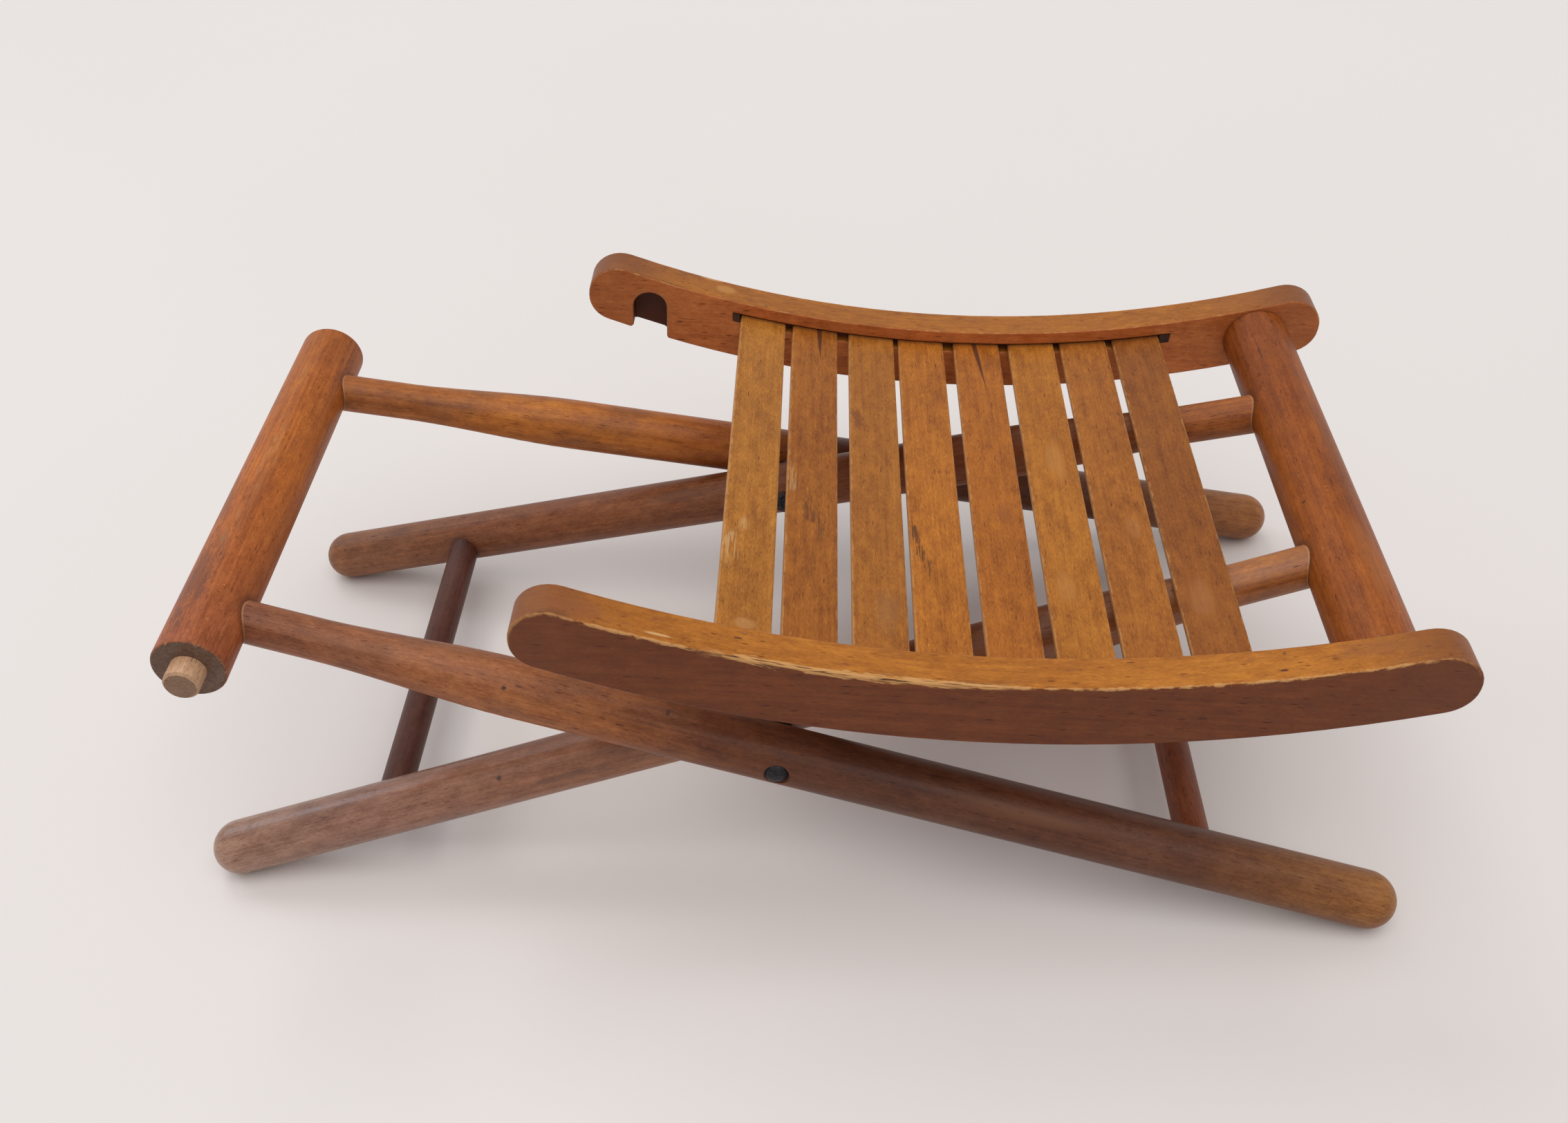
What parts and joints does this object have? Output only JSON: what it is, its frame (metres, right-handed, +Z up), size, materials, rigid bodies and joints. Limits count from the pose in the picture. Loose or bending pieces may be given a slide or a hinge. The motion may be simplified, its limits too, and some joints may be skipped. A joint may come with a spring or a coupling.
{
  "type": "folding camping stool",
  "caption": "Wooden folding camping stool with crossed turned legs on rivets and a curved slatted seat that swings on one crossbar and hooks over stubs on the other.",
  "frame": {"origin": "on the floor under the rivets, midway between the feet and between the two sides", "axes": "+X from the hook bar to the seat bar, +Y across the seat away from the viewer, +Z up"},
  "size_m": [0.5612, 0.2984, 0.1991],
  "materials": {
    "crossbar_wood": "satin, worn",
    "leg_wood": "satin, scuffed",
    "stretcher_wood": "satin, dark",
    "rail_wood": "satin, worn at the edges",
    "slat_wood": "satin, worn",
    "dowel_wood": "matte, bare",
    "plug_wood": "matte",
    "dark_steel": "oxidised, dull"
  },
  "bodies": {
    "outer_frame": {"crossbar_hook": "crossbar_wood", "hook_dowel_near": "dowel_wood", "hook_dowel_far": "dowel_wood", "outer_leg_near": "leg_wood", "outer_leg_far": "leg_wood", "outer_stretcher": "stretcher_wood", "rivet_near": "dark_steel", "rivet_far": "dark_steel", "rivet_spacers": "dark_steel", "rivet_burrs": "dark_steel"},
    "inner_frame": {"crossbar_seat": "crossbar_wood", "inner_leg_near": "leg_wood", "inner_leg_far": "leg_wood", "inner_stretcher": "stretcher_wood"},
    "seat_pivots": {"seat_dowel_near": "dowel_wood", "seat_dowel_far": "dowel_wood"},
    "seat": {"rail_near": "rail_wood", "rail_far": "rail_wood", "slat_1": "slat_wood", "slat_2": "slat_wood", "slat_3": "slat_wood", "slat_4": "slat_wood", "slat_5": "slat_wood", "slat_6": "slat_wood", "slat_7": "slat_wood", "slat_8": "slat_wood", "groove_plugs": "plug_wood", "slat_brads": "dark_steel"}
  },
  "joints": [
    {"name": "leg_fold", "type": "hinge", "parent": "outer_frame", "child": "inner_frame", "pos_m": [0, 0, 0.08476], "axis": [0, -1, 0], "range_deg": [0, 142]},
    {"name": "seat_lift", "type": "hinge", "parent": "inner_frame", "child": "seat_pivots", "pos_m": [0.24733, 0, 0.1508], "axis": [0, 1, 0], "range_deg": [-1, 134.5]},
    {"name": "seat_swing", "type": "hinge", "parent": "seat_pivots", "child": "seat", "pos_m": [0.24733, 0, 0.1508], "axis": [0, 1, 0], "range_deg": [0, 190]}
  ],
  "couplings": [
    {"joint": "seat_lift", "follows": "leg_fold", "ratio": 0.94}
  ]
}
